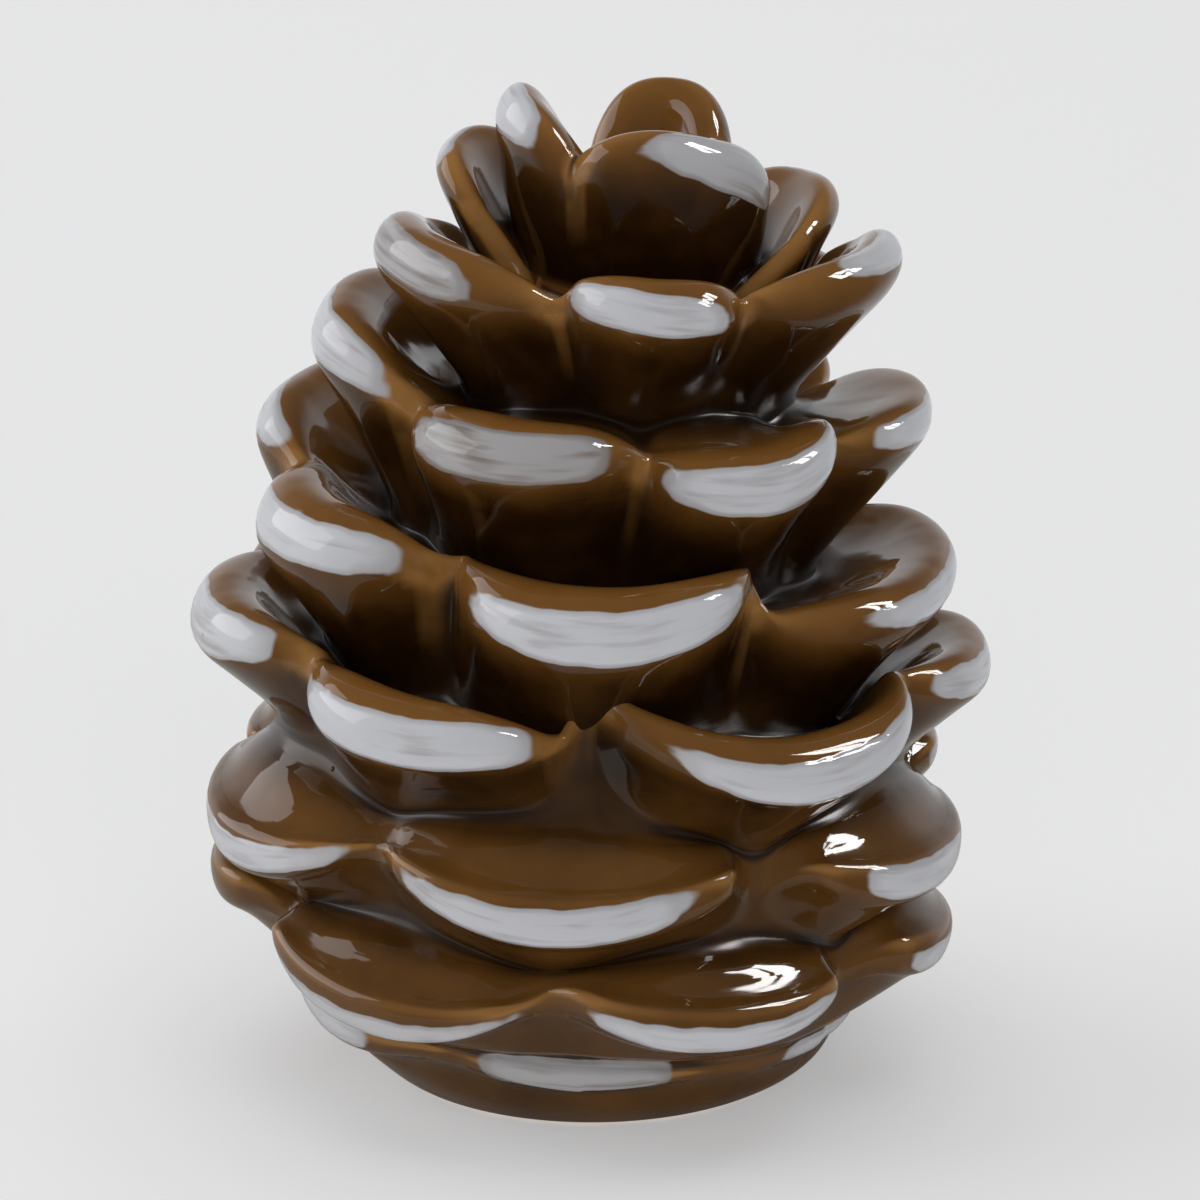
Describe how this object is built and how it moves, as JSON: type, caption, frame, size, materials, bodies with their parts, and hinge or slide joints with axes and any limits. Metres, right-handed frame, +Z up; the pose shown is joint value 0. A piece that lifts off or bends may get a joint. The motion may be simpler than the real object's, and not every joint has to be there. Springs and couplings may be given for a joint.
{
  "type": "ceramic pine cone ornament",
  "caption": "Small upright pine cone ornament in brown glazed ceramic, its tiers of cupped scales edged with pale painted strokes, standing on a flat foot.",
  "frame": {"origin": "centre of the flat foot", "axes": "+Z up through the crown, -Y towards the pictured front, +X to the viewer's right, the side the upper tiers lean to"},
  "size_m": [0.0382, 0.0368, 0.049],
  "materials": {
    "brown_glaze": "high-gloss amber-brown glaze, darker where it pools, with pale grey-white strokes painted along the lips of the scales and bare clay under the foot"
  },
  "bodies": {
    "root": {"pine_cone": "brown_glaze"}
  },
  "joints": []
}
